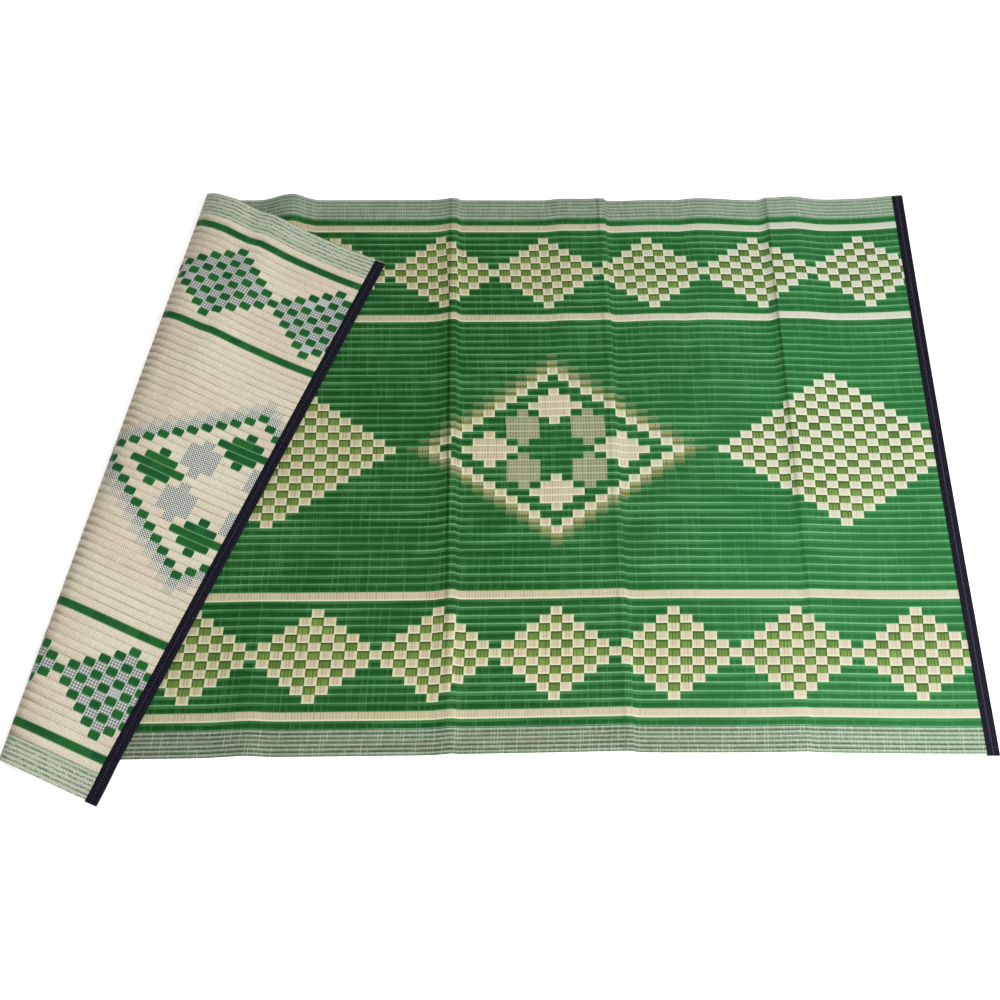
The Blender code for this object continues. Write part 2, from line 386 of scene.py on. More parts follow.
def either(first, *others):
    for other in others:
        first = first.math("MAXIMUM", other)
    return first


def eased(number, low, high):
    """0 below low, 1 above high, and a soft step between them."""
    inputs = {"Value": number, "From Min": low, "From Max": high}
    kind = "ShaderNodeMapRange"
    return Number(number.tree, added(number.tree, kind, inputs, "Result", interpolation_type="SMOOTHSTEP"))


def near(number, place, reach):
    """1 at the place, and down to 0 where it is reach away."""
    return 1 - eased(abs(number - place), reach * NEAR_CORE, reach)


def halfway(number, reach):
    """1 halfway between whole numbers, and down to 0 where it is reach away."""
    return near(number.math("FRACT"), 0.5, reach)


def at_edges(across, reach):
    """1 where a share from 0 to 1 is at either end, and down to 0 where it is reach away."""
    return 1 - eased(0.5 - abs(across - 0.5), reach * EDGE_CORE, reach)


print("masks: equal, odd, either, eased, near, halfway and at_edges")


# %% Chance
def vector(x, y):
    return added(x.tree, "ShaderNodeCombineXYZ", {0: x, 1: y})


def chance(x, y):
    """A random number from 0 to 1 for each pair of whole numbers."""
    inputs = {"Vector": vector(x, y)}
    return Number(x.tree, added(x.tree, "ShaderNodeTexWhiteNoise", inputs, "Value", noise_dimensions="2D"))


def drift(x, y, detail):
    """A smooth random number, around a half, that changes over about one unit of x and of y."""
    inputs = {"Scale": 1.0, "Detail": detail, "Vector": vector(x, y)}
    return Number(x.tree, added(x.tree, "ShaderNodeTexNoise", inputs, "Fac"))


print("chance: one number for each square, or a soft drift")


# %% Node groups
def shader_group(name, *inputs):
    """An empty node group that takes in numbers. Returns its tree and its inputs as Numbers."""
    tree = bpy.data.node_groups.new(name, "ShaderNodeTree")
    for socket_name in inputs:
        tree.interface.new_socket(socket_name, in_out="INPUT", socket_type="NodeSocketFloat")
    source = tree.nodes.new("NodeGroupInput")
    return tree, *(Number(tree, source.outputs[socket_name]) for socket_name in inputs)


def with_outputs(tree, **values):
    """Gives a group one output for each named value, and returns it."""
    for socket_name in values:
        tree.interface.new_socket(socket_name, in_out="OUTPUT", socket_type="NodeSocketFloat")
    feed_all(tree, tree.nodes.new("NodeGroupOutput"), values)
    return tree


def placed(tree, group, **given):
    """Places a group in a tree and feeds it. Its outputs come back as Numbers, named in small letters."""
    node = tree.nodes.new("ShaderNodeGroup")
    node.node_tree = group
    feed_all(tree, node, given)
    return SimpleNamespace(**{socket.name.lower(): Number(tree, socket) for socket in node.outputs})


print("an effect that both sides use is now built once")

# %% [markdown]
# ## The pattern
# A weaver reads a pattern from a squared chart: so many ribs up, so many blocks along. This is a common
# one for such mats, and short rules give it. Everything mirrors about the middle of the mat and of each
# motif, so Ping-Pong and Absolute nodes fold the plane, and then the number of steps from a motif's
# middle, counted along ribs and blocks, says which block is which. A diamond is all blocks within so many
# steps, and its checks are its odd and even steps.
#
# The chart is a node group, because both sides of the mat use it. "Swapped" blocks have the cream straws
# on the face. In "shared" blocks the two colours lie side by side, in "netted" ones they cross, and
# "framed" ones are the soft outline of the middle motif, which fades outwards over two blocks.

# %% The chart as a node group
SELVEDGE_RIB = 34.5
STRIPE_RIBS = (19, 33)
BORDER_RIB = 26
BORDER_REPEAT = 5
MOTIF_REPEAT = 25
DIAMOND_REACH = 10
FRAME_STEPS = 11
STAR_PLACE = 6
NET_PLACE = 3
STAR_REACH = 2.5
NET_HALF_WIDTH = 1.5
FAINT_FRAME = 0.5


def weave_chart():
    tree, block, rib = shader_group("weave chart", "Block", "Rib")
    block = abs(block).math("ROUND")
    rib = abs(rib).math("ROUND")
    stripes = either(*(equal(rib, stripe) for stripe in STRIPE_RIBS))
    border = block.math("PINGPONG", float(BORDER_REPEAT)) + abs(rib - BORDER_RIB)
    in_border = border < BORDER_REPEAT + 0.5
    column = block.math("PINGPONG", float(MOTIF_REPEAT))
    diamond = (MOTIF_REPEAT - column) + rib
    in_diamond = diamond < DIAMOND_REACH + 0.5
    frame_steps = column + rib
    stars = either(
        column + abs(rib - STAR_PLACE) < STAR_REACH,
        abs(column - STAR_PLACE) + rib < STAR_REACH,
    )
    net_column = abs(column - NET_PLACE)
    netted = (net_column + abs(rib - NET_PLACE) < STAR_REACH) * (net_column < NET_HALF_WIDTH)
    checks = either(in_border * odd(border), in_diamond * (1 - odd(diamond)))
    swapped = either(stripes, checks, equal(frame_steps, FRAME_STEPS), stars)
    shared = either(in_border * (1 - odd(border)), in_diamond * odd(diamond))
    framed = either(equal(frame_steps, FRAME_STEPS + 1), equal(frame_steps, FRAME_STEPS + 2) * FAINT_FRAME)
    selvedge = rib > SELVEDGE_RIB
    return with_outputs(
        tree, Swapped=swapped, Shared=shared, Netted=netted, Framed=framed, Selvedge=selvedge
    )


CHART = weave_chart()
print("the chart has", len(CHART.nodes), "nodes")

# %% [markdown]
# ## Straws and threads
# Each rib is a pair of flat straws, laid side by side, and at the mat's long edges there are single ones
# half as wide. Four threads cross each block. They are thin, but they pull the straws down a little where
# they cross, and every straw and thread is a bit different. How tight a thread is changes slowly from rib
# to rib ("Pull"), and how much a straw catches the light changes slowly along it ("Streak"). One node
# group works all this out from the weave coordinates, and both sides of the mat use it.

# %% Straws and threads as a node group
THREADS_IN_BLOCK = 4
THREAD_WANDER = 0.6
LINE_REACH = 0.10
SPLIT_REACH = 0.07
THREAD_REACH = 0.36
BULGE_SHARE = 0.6
PULL_SHARE = 0.4
FAR_APART = 7.3
WANDER_SCALE = (0.6, 0.37)
PULL_SCALE = 0.15
PULL_RANGE = (0.3, 0.7)
STREAK_SCALE = 0.14
STREAK_RANGE = (0.35, 0.65)
STRAW_SEED = 3.0
CELL_SEED = 7.0


def straws_and_threads():
    tree, block, whole_rib, straws = shader_group("straws and threads", "Block", "Rib", "Straws")
    rib = (whole_rib + 0.5) * straws
    across = rib.math("FRACT")
    rib_number = rib.math("FLOOR")
    sideways = drift(block * WANDER_SCALE[0], rib_number * WANDER_SCALE[1], detail=1.0) - 0.5
    thread = block * THREADS_IN_BLOCK + sideways * THREAD_WANDER
    crossing = halfway(thread, THREAD_REACH)
    tight = drift(thread.math("FLOOR") * FAR_APART, rib_number * PULL_SCALE, detail=1.0)
    pull = eased(tight, *PULL_RANGE)
    in_straw = (rib * 2).math("FRACT") - 0.5
    bulge = 1 - (in_straw * in_straw) * 4
    return with_outputs(
        tree,
        Across=across,
        Line=at_edges(across, LINE_REACH),
        Split=near(across, 0.5, SPLIT_REACH),
        Thread=crossing,
        Pull=pull,
        Straw=chance((rib * 2).math("FLOOR"), STRAW_SEED),
        Streak=eased(drift(block * STREAK_SCALE, rib_number * FAR_APART, detail=2.0), *STREAK_RANGE),
        Cell=chance(block.math("ROUND"), rib_number + CELL_SEED),
        Height=bulge * BULGE_SHARE - crossing * pull * PULL_SHARE,
    )


STRAWS = straws_and_threads()
print("the straws have", len(STRAWS.nodes), "nodes")

# %% [markdown]
# ## Colours of the face
# Seen close, a green rib has a painted highlight in a band along its back and painted shade just in front
# of that, and gets slowly lighter towards the next rib, as if lit from the front; a thin painted highlight
# lines its edges. The cream blocks are warm and a little pink in the middle, with a yellow green rim at the
# sides where the straws dive, greener painted shade at the back of each rib and a painted highlight at its
# front. In the shared blocks, dark threads stand on a bright yellow green, with painted shade at the back
# of each rib and at the block's sides, and the netted ones mix everything into a grey khaki. The mat is
# warmer at its left end and painted cooler, paler and brighter at its right end, a painted sheen and
# painted light.
# Along the sharp creases the straws kink, and a thin line of painted shade lies along their left side and
# along the fold.
#
# Each of these is a colour of its own here. They are laid over each other in coats, and the chart's masks
# say which coats a block gets. The plain numbers in a coat say where it starts and ends and how strong it
# is. Plastic shines a little, but the threads break the shine up, so the roughness is fairly high.

# %% Colours and how they mix
# A Mix node has one output for each kind of value. The third is its colour.
COLOUR_OUTPUT = 2


def tone(red, green, blue):
    """A colour given as it looks on a screen, from 0 to 255, made linear for the shader."""
    parts = [value / 255 for value in (red, green, blue)]
    linear = [p / 12.92 if p <= 0.04045 else ((p + 0.055) / 1.055) ** 2.4 for p in parts]
    return (*linear, 1.0)


def blend(tree, share, first, second, way="MIX"):
    inputs = {"Factor": share, "A": first, "B": second}
    return added(tree, "ShaderNodeMix", inputs, COLOUR_OUTPUT, data_type="RGBA", blend_type=way)


def coated(tree, colour, *coats):
    """Lays coats over a colour, one after the other. A coat is its share and its own colour."""
    for share, coat in coats:
        colour = blend(tree, share, colour, coat)
    return colour


def show(name, colour):
    print(name, "in linear light:", [round(value, 3) for value in colour[:3]])


show("white", tone(255, 255, 255))


# %% A material, what it reads, and its shader
PLASTIC_SHINE = 0.12


def material_for(name):
    """A new material and its tree, with a Principled shader in it."""
    material = bpy.data.materials.new(name)
    material.use_nodes = True
    return material, material.node_tree


def weave_place(tree, layer):
    """The two numbers of a UV map."""
    uv = added(tree, "ShaderNodeUVMap", {}, "UV", uv_map=layer)
    place_along = added(tree, "ShaderNodeSeparateXYZ", {0: uv})
    return Number(tree, place_along), Number(tree, place_along.node.outputs[1])


def bend_shade(tree):
    """How sharply the sheet is bent, which is measured when the sheet is built. It places painted shade."""
    return Number(tree, added(tree, "ShaderNodeAttribute", {}, "Fac", attribute_name="bend_shade"))


def set_shader(tree, values):
    feed_all(tree, tree.nodes["Principled BSDF"], values)


def set_surface(tree, colour, roughness, height, depth):
    """Feeds the shader, with a height turned into bumps, and gives it a slight shine."""
    bump = added(tree, "ShaderNodeBump", {"Distance": depth, "Height": height}, "Normal")
    set_shader(tree, {"Base Color": colour, "Roughness": roughness, "Normal": bump})
    set_shader(tree, {"Specular IOR Level": PLASTIC_SHINE})


print("plastic shine:", PLASTIC_SHINE)

# %% The green ribs
# The band and the line are painted highlights; the dark in front of the band is painted shade.
GREEN_DARK = tone(14, 74, 23)
GREEN_LIGHT = tone(46, 112, 50)
GREEN_HIGHLIGHT_BAND = tone(72, 134, 76)
GREEN_HIGHLIGHT_LINE = tone(134, 198, 144)
GREEN_THREAD = tone(84, 146, 88)


def green_ribs(tree, straws, patch, painted_light_right):
    """A painted highlight in a band along the back of each rib, and painted shade just in front of that
    band.
    """
    # Painted shade across each rib, lighter towards its front, on random tone from straw and patch.
    shade_and_tone = eased(straws.across, 0.15, 1.1) * 0.6 + (straws.straw - 0.5) * 0.25 + (patch - 0.5) * 0.7
    loose = straws.thread * (1 - eased(straws.pull, 0.0, 0.6))
    # A painted highlight in a band along the back of each rib.
    band = 1 - eased(straws.across - straws.streak * 0.12, 0.18, 0.4)
    shine = straws.streak * 0.5 + painted_light_right * 0.25 - loose * 0.15
    return coated(
        tree,
        GREEN_DARK,
        (shade_and_tone, GREEN_LIGHT),
        (straws.thread * eased(straws.pull, 0.5, 1.0) * 0.34, GREEN_THREAD),
        (loose * 0.42 + straws.split * 0.2, GREEN_DARK),
        (band * (0.4 + straws.streak * 0.4), GREEN_HIGHLIGHT_BAND),
        # The pale line at the ribs' edges is a painted highlight, brighter towards the right end.
        (straws.line * (shine + 0.28), GREEN_HIGHLIGHT_LINE),
    )


show("light green", GREEN_LIGHT)

# %% The cream blocks
CREAM_MIDDLE = tone(206, 200, 164)
# At the back of each rib the cream is painted shade, and at its front a painted highlight.
CREAM_SHADED_BACK = tone(196, 194, 146)
CREAM_LIT_FRONT = tone(238, 230, 200)
CREAM_THREAD = tone(170, 152, 120)
CREAM_PINK = tone(218, 198, 172)
CREAM_RIM = tone(230, 230, 186)


def cream_blocks(tree, straws, patch, rim):
    """Warm in the middle; greener at the back of each rib, a painted shade; yellow green at its front, a
    painted highlight, and where a block ends.
    """
    return coated(
        tree,
        CREAM_SHADED_BACK,
        (eased(straws.across, 0.0, 0.3), CREAM_MIDDLE),
        (eased(patch, 0.45, 0.65) * 0.8, CREAM_PINK),
        (straws.thread * (0.15 + straws.pull * 0.65), CREAM_THREAD),
        (straws.split * 0.2, CREAM_THREAD),
        (rim * 0.6, CREAM_RIM),
        (eased(straws.across, 0.78, 0.96), CREAM_LIT_FRONT),
    )


show("cream", CREAM_MIDDLE)

# %% Shared and netted blocks
SHARED_BRIGHT = tone(132, 156, 74)
SHEEN_SHARED = tone(130, 160, 82)
SHARED_DARK = tone(40, 82, 24)
NET_PALE = tone(162, 166, 126)
NET_LINE = tone(204, 208, 186)
NET_DARK = tone(74, 114, 64)


def shared_blocks(tree, straws, from_middle, painted_light_right):
    """Dark threads over yellow green, with painted shade at the back of each rib and at the sides of each
    block.
    """
    # Painted shade at the back of each rib and at the sides of each block.
    edges = either((1 - eased(straws.across, 0.05, 0.45)) * 0.9, eased(from_middle, 0.3, 0.5) * 0.8)
    threads = straws.thread * (0.15 + straws.pull * 0.6)
    return coated(
        tree,
        SHARED_BRIGHT,
        # Painted light towards the right end.
        (painted_light_right, SHEEN_SHARED),
        (straws.cell * 0.4, SHARED_DARK),
        (either(edges, threads), SHARED_DARK),
    )


def netted_blocks(tree, straws):
    """Two khaki straws in each rib, parted by pale lines, with threads across them."""
    return coated(
        tree,
        NET_PALE,
        (straws.cell * 0.4, CREAM_THREAD),
        (straws.thread * (0.2 + straws.pull * 0.45), NET_DARK),
        (straws.split * 0.3, NET_LINE),
        (straws.line * 0.85, NET_LINE),
    )


show("khaki", NET_PALE)

# %% Framed blocks
FRAME_PALE = tone(172, 170, 124)
FRAME_OLIVE = tone(108, 116, 44)
OUTER_FRAME = 0.75


def framed_blocks(tree, straws, framed, ground):
    """A khaki straw at the back of each rib, and an olive one at the front. The outer ones are faint."""
    outer = framed < OUTER_FRAME
    front = eased(straws.across, 0.4, 0.6)
    net = coated(
        tree,
        FRAME_PALE,
        (front * (0.5 + straws.cell * 0.5), FRAME_OLIVE),
        (straws.thread * (0.2 + straws.pull * 0.5), NET_DARK),
        (straws.line * 0.5, NET_LINE),
    )
    return blend(tree, framed * (0.95 - outer * (0.3 + front * 0.45)), ground, net)


show("olive", FRAME_OLIVE)

# %% The face's selvedges
STRAW_GREY = tone(140, 142, 122)
STRAW_GREEN = tone(88, 120, 82)
STRAW_MINT = tone(154, 182, 154)
STRAW_GAP = tone(54, 80, 50)
STRAW_THREAD_AND_HIGHLIGHT = tone(214, 216, 204)
GAP_REACH = 0.34
BRICK_SPREAD = 90


def bricks(place, straws):
    """A random number for each piece of a single straw between two threads."""
    return chance(place.math("ROUND"), straws.straw * BRICK_SPREAD)


def selvedge_straws(tree, straws, block, rib, painted_light_right):
    """Single straws with dark gaps, cut by the threads into rows like bricks, no two quite alike, with a
    painted highlight along each.
    """
    place = block * (THREADS_IN_BLOCK / 2) + straws.straw
    brick = bricks(place, straws)
    at_back = rib < 0.0
    gaps = at_edges(straws.across, GAP_REACH) * (0.45 + straws.straw * 0.45) * (1 - at_back * 0.45)
    threads = halfway(block * THREADS_IN_BLOCK, 0.24) * eased(straws.pull, 0.3, 1.0)
    return coated(
        tree,
        STRAW_GREY,
        (brick, STRAW_GREEN),
        # Paler mint towards the right end is painted light.
        (either(straws.streak * 0.4, painted_light_right * painted_light_right * 0.7) + at_back * 0.25, STRAW_MINT),
        (halfway(place, 0.2) * brick * 0.5 * (1 - at_back * 0.5), STRAW_GAP),
        # A painted highlight along each straw.
        (near(straws.across, 0.4, 0.28) * (0.15 + brick * 0.4), STRAW_THREAD_AND_HIGHLIGHT),
        (gaps, STRAW_GAP),
        (threads * 0.35, STRAW_THREAD_AND_HIGHLIGHT),
    )


show("straw grey", STRAW_GREY)

# %% What both sides of the weave share
STRAW_DEPTH = 0.0003
JITTER_SEED = 2.0


def woven_inputs(tree, patches, jitter):
    """What both sides read: the weave coordinates, the chart, the straws, and patches of light and dark.

    The chart is read with each rib's blocks shifted a little by chance, as far as the jitter says.
    """
    block, rib = weave_place(tree, "weave")
    rib_number = (rib + 0.5).math("FLOOR")
    shifted = block + (chance(rib_number, rib_number + JITTER_SEED) - 0.5) * jitter
    chart = placed(tree, CHART, Block=shifted, Rib=rib)
    straws = placed(tree, STRAWS, Block=block, Rib=rib, Straws=1.0 + chart.selvedge)
    patch = drift(block * patches[0], rib * patches[1], detail=3.0)
    return block, rib, shifted, chart, straws, patch


def finish_weave(tree, colour, straws, patch, roughness):
    """The roughness is a base, and what the threads and the patches add to it."""
    base, by_thread, by_patch = roughness
    rough = base + straws.thread * by_thread + patch * by_patch
    set_surface(tree, colour, rough, straws.height, STRAW_DEPTH)


def swapped_twice(tree, block, rib, step):
    """Where the chart's blocks are swapped both a step to the left and a step to the right."""
    left = placed(tree, CHART, Block=block - step, Rib=rib).swapped
    return left * placed(tree, CHART, Block=block + step, Rib=rib).swapped


print(f"the straws stand {STRAW_DEPTH * 1000:.1f} mm high in the bumps")

# %% The face's material
# Painted light: towards the right end the colours are painted paler, cooler and brighter, a painted sheen
# strongest at the back, with a darker cream at the front.
SHEEN_GREEN = tone(66, 168, 100)
SHEEN_CREAM = tone(234, 244, 232)
FRONT_CREAM = tone(204, 198, 184)
# The colour that darkens the creases and the fold is painted shade.
BEND_SHADE_COLOUR = tone(150, 158, 132)
PAINTED_LIGHT_BLOCKS = (-10.0, 28.0)
SHEEN_RIBS = (-15.0, 25.0)
FACE_PATCHES = (0.09, 0.13)
FACE_ROUGHNESS = (0.38, 0.15, 0.14)
BLOCK_JITTER = 0.10
RIM = 0.2


def face_material():
    material, tree = material_for("woven_face")
    block, rib, shifted, chart, straws, patch = woven_inputs(tree, FACE_PATCHES, BLOCK_JITTER)
    from_middle = abs(shifted - shifted.math("ROUND"))
    # Painted light and sheen towards the right end of the mat.
    painted_light_right = eased(block, *PAINTED_LIGHT_BLOCKS)
    cream = cream_blocks(tree, straws, patch, 1 - swapped_twice(tree, shifted, rib, RIM))
    sheen_cream = blend(tree, eased(rib, *SHEEN_RIBS), SHEEN_CREAM, FRONT_CREAM)
    green = blend(tree, painted_light_right * 0.2, green_ribs(tree, straws, patch, painted_light_right), SHEEN_GREEN)
    colour = coated(
        tree,
        framed_blocks(tree, straws, chart.framed, green),
        (chart.netted, netted_blocks(tree, straws)),
        (chart.shared, shared_blocks(tree, straws, from_middle, painted_light_right)),
        (chart.swapped, blend(tree, painted_light_right * 0.5, cream, sheen_cream)),
        (chart.selvedge, selvedge_straws(tree, straws, block, rib, painted_light_right)),
    )
    # Painted shade along the left side of the sharp creases and by the fold.
    colour = blend(tree, bend_shade(tree), colour, blend(tree, 1.0, colour, BEND_SHADE_COLOUR, "MULTIPLY"))
    finish_weave(tree, colour, straws, patch, FACE_ROUGHNESS)
    return material


FACE = face_material()
print("face material:", len(FACE.node_tree.nodes), "nodes")

# %% [markdown]
# ## Colours of the reverse
# The reverse shows the same chart with its colours changed over. Cream straws make the ground. The green
# ones behind them mottle it with fine dots, and a thin brown line parts the ribs. The front of each rib is
# painted darker, a painted shade, and by the fold and the flap's creases brown streaks of painted shade lie
# along the ribs. The green blocks are tighter than on the face: their ends draw in and leave a pale rim.
# Reading the chart a little to the left and to the right, and keeping what is green in both, shortens each
# green bar at its two ends. The green bars are painted lighter towards the front of each rib, a painted
# light. Along the edges the single straws are pale, with a painted highlight along each, and the threads
# cut them into dashes.

# %% The reverse's cream ground
REVERSE_CREAM = tone(247, 238, 213)
REVERSE_PINK = tone(244, 226, 204)
REVERSE_SHADE = tone(218, 204, 176)
REVERSE_DOT = tone(150, 138, 112)
REVERSE_MINT = tone(170, 190, 140)
REVERSE_GLINT = tone(250, 246, 234)
REVERSE_LINE_AND_SHADE = tone(140, 112, 80)
DOT_SIZE = 0.32


def dots(column, row, size=DOT_SIZE):
    """Round dots, one in each of the squares that the two numbers count."""
    in_column = column.math("FRACT") - 0.5
    in_row = row.math("FRACT") - 0.5
    return 1 - eased(in_column * in_column + in_row * in_row, size * EDGE_CORE, size)


def chequered_dots(column, row, size=DOT_SIZE):
    """The same, but on every other square."""
    return dots(column, row, size) * odd(abs(column.math("FLOOR") + row.math("FLOOR")))


def reverse_ground(tree, straws, column, row, patch):
    """Cream straws, painted darker at the front of each rib as shade, with fine dots, and brown streaks of
    painted shade by the bends.
    """
    mottle = chance(column.math("FLOOR"), row.math("FLOOR"))
    streaks = bend_shade(tree) * eased(straws.across, 0.3, 0.9) * (0.45 + straws.streak * 0.45)
    return coated(
        tree,
        REVERSE_CREAM,
        (eased(patch, 0.4, 0.6), REVERSE_PINK),
        # Painted shade at the front of each rib.
        (eased(straws.across, 0.45, 1.0) * (0.2 + straws.straw * 0.5), REVERSE_SHADE),
        (
            chequered_dots(column * 2, row * 2) * (0.3 + mottle * 0.5),
            blend(tree, mottle > 0.7, REVERSE_DOT, REVERSE_MINT),
        ),
        (chequered_dots(column * 2 + 1, row * 2) * (1 - mottle) * 0.7, REVERSE_GLINT),
        # The brown line between ribs is the straws' dark joint; the streaks by the bends are painted shade.
        (either(straws.line * (0.12 + straws.streak * 0.45), streaks), REVERSE_LINE_AND_SHADE),
    )


show("reverse cream", REVERSE_CREAM)

# %% Green bars, and the reverse's selvedges
REVERSE_GREEN = tone(26, 88, 48)
REVERSE_GREEN_WARM_AND_LIT = tone(44, 118, 50)
REVERSE_GAP = tone(130, 178, 132)
EDGE_CREAM = tone(216, 218, 196)
EDGE_MINT = tone(182, 204, 172)
EDGE_HIGHLIGHT = tone(240, 242, 228)
EDGE_GREEN = tone(52, 88, 56)
HALF_STEP_SPREAD = 100


def green_bars(tree, straws):
    return coated(
        tree,
        REVERSE_GREEN,
        (straws.cell * 0.8, REVERSE_GREEN_WARM_AND_LIT),
        # Lighter at the front of each rib: painted light.
        (eased(straws.across, 0.5, 1.0) * 0.5, REVERSE_GREEN_WARM_AND_LIT),
        (straws.thread * straws.pull * 0.5, REVERSE_GREEN),
        (straws.line * 0.65, REVERSE_GAP),
    )


def reverse_selvedge(tree, straws, block):
    """Pale straws along the edge, cut into dashes by the threads, with dark green in the gaps and a painted
    highlight along each.
    """
    place = block * THREADS_IN_BLOCK + odd(straws.straw * HALF_STEP_SPREAD) * 0.5
    dash = bricks(place, straws)
    return coated(
        tree,
        EDGE_CREAM,
        (straws.straw, EDGE_MINT),
        # A painted highlight along each straw.
        (near(straws.across, 0.4, 0.3) * dash * 0.7, EDGE_HIGHLIGHT),
        (halfway(place, 0.3) * (0.1 + dash * 0.3), EDGE_GREEN),
        (at_edges(straws.across, GAP_REACH) * (0.1 + dash * 0.65), EDGE_GREEN),
    )


show("reverse green", REVERSE_GREEN)

# %% The reverse's material
REVERSE_RIM = tone(206, 222, 196)
NET_WHITE = tone(236, 238, 228)
NET_DOT = tone(28, 50, 42)
SHARED_GROUND = tone(236, 236, 232)
SHARED_DOT = tone(110, 116, 116)
SHARED_LILAC = tone(208, 210, 213)
REVERSE_PATCHES = (0.11, 0.15)
REVERSE_ROUGHNESS = (0.42, 0.10, 0.10)
DRAWN_IN = 0.03
ROUND_FROM = 0.26
ROUNDING = 0.32
NET_DOT_SIZE = 0.5
DOTS_ACROSS = 3


def reverse_material():
    material, tree = material_for("woven_reverse")
    block, rib, shifted, chart, straws, patch = woven_inputs(tree, REVERSE_PATCHES, 0.0)
    from_middle = abs(straws.across - 0.5)
    drawn_in = (from_middle - ROUND_FROM).math("MAXIMUM", 0.0) * ROUNDING + DRAWN_IN
    column = block * THREADS_IN_BLOCK
    row = rib * DOTS_ACROSS
    shared = coated(
        tree,
        SHARED_GROUND,
        (dots(column, row) * 0.9, SHARED_DOT),
        (eased(straws.cell, 0.75, 0.92) * 0.6, SHARED_LILAC),
    )
    net = blend(tree, chequered_dots(column * 2, row * 2, NET_DOT_SIZE), NET_WHITE, NET_DOT)
    colour = coated(
        tree,
        reverse_ground(tree, straws, column, row, patch),
        (chart.shared, shared),
        (either(chart.netted, chart.framed), net),
        (chart.swapped, REVERSE_RIM),
        (swapped_twice(tree, shifted, rib, drawn_in), green_bars(tree, straws)),
        (chart.selvedge, reverse_selvedge(tree, straws, block)),
    )
    finish_weave(tree, colour, straws, patch, REVERSE_ROUGHNESS)
    return material


REVERSE = reverse_material()
print("reverse material:", len(REVERSE.node_tree.nodes), "nodes")

# %% [markdown]
# ## The woven sheet
# The weave has its own coordinates: one for the ribs, and one for the blocks of the pattern, which are a
# bit longer than a rib is wide. The loom pulled the blocks slightly out of line, in a shallow bow, so the
# block coordinate is worked out from both places. The ribs are not quite evenly spaced either, and a short
# table says how far some of them have moved. A second one does so for blocks that were drawn along the
# mat. Both coordinates are stored in a UV map, which the two materials read.
#
# The sheet is a closed shell of two fine grids, because both of its sides are seen. Each rib has four
# rows of points, so that its straws can bulge. How sharply each point is bent is stored as well, because
# the materials paint shade where the sheet bends.

# %% How far ribs and blocks have moved
# Each row is a rib, and how far it has moved in the folded end, at the left and at the right, in mm.
RIB_SHIFTS = (
    (-37, 0.0, 0.0, 0.0),
    (-33, 0.0, -0.5, -1.6),
    (-19, 0.0, 0.5, -2.0),
    (-14, 0.0, -0.7, -2.6),
    (-9, 0.0, -0.9, -1.8),
    (-5, 1.0, -0.7, 0.0),
    (0, 2.0, -0.2, 0.9),
    (4, 2.6, -2.4, -1.6),
    (8, 2.7, -3.9, -3.3),
    (11.5, 2.7, -4.6, -4.0),
    (15, 2.7, -3.5, -3.1),
    (19, 2.7, -1.1, -0.7),
    (25, 2.4, -0.4, 0.2),
    (32, 1.8, 1.0, 0.4),
    (37, 0.0, 0.0, 0.0),
)
# Each row is a place along the mat, and how far the blocks have moved there at the front, in the middle
# and at the back, in mm.
BLOCK_SHIFTS = (
    (0.560, 0.0, 0.0, 0.0),
    (0.680, -2.0, -5.0, -1.0),
    (0.860, -4.5, -6.0, -4.5),
    (0.955, 2.0, -1.0, 1.5),
    (1.050, -1.5, -1.0, -0.5),
    (1.130, 4.0, 3.5, 5.5),
    (1.200, 3.0, 3.5, 4.5),
    (1.250, 6.0, 6.0, 4.5),
    (1.350, 6.5, 5.5, 6.0),
    (1.500, 1.0, 0.5, 0.5),
    (1.545, 5.0, 0.5, 2.5),
    (1.660, 1.0, -1.5, -3.0),
    (1.808, 0.0, -1.5, 0.0),
)
print("tables:", len(RIB_SHIFTS), "rows for ribs and", len(BLOCK_SHIFTS), "for blocks")

# %% Weave coordinates
FOLDED_ZONE = (0.24, 0.44)
RIGHT_ZONE = (0.9, 1.7)
BLOCK_RATIO = 1.3521
WEFT_SKEW = -0.0103
WEFT_BOW = 1.2782
BOW_RIBS = 37
PATTERN_CENTRE = 1.0825
SHIFT_ACROSS = 0.40


def block_shift(along, across):
    """How far the loom drew the blocks out of step, from the table's front, middle and back values."""
    front, middle, back = looked_up(BLOCK_SHIFTS, along)
    share = np.clip(across / SHIFT_ACROSS, -1, 1)
    return middle * (1 - np.abs(share)) + back * np.maximum(share, 0) + front * np.maximum(-share, 0)


def block_place(along, across):
    """The place in blocks, counted from the middle of the middle motif."""
    rib = rib_place(across)
    place = along + block_shift(along, across) - PATTERN_CENTRE
    drawn = place / RIB_PITCH - WEFT_SKEW * rib - WEFT_BOW * (1 - (rib / BOW_RIBS) ** 2)
    return drawn / BLOCK_RATIO


def rib_place(across):
    """The place in ribs, counted from the middle rib towards the front."""
    return -across / RIB_PITCH


def spaced(along, across):
    """The place across the mat, moved because the ribs are not quite evenly spaced."""
    folded, left, right = looked_up(RIB_SHIFTS, rib_place(across))
    past_fold = smooth((along - FOLDED_ZONE[0]) / (FOLDED_ZONE[1] - FOLDED_ZONE[0]))
    to_right = smooth((along - RIGHT_ZONE[0]) / (RIGHT_ZONE[1] - RIGHT_ZONE[0]))
    flat = left + (right - left) * to_right
    return across - (folded + (flat - folded) * past_fold)


blocks = block_place(LENGTH, 0.0) - block_place(0.0, 0.0)
print(f"the mat is {blocks:.0f} blocks long, {BLOCK_RATIO * RIB_PITCH * 1000:.1f} mm each")

# %% Columns of the sheet
FINE_COLUMN = 0.0045
WIDE_COLUMN = 0.026
NEAR_CREASE = 0.03


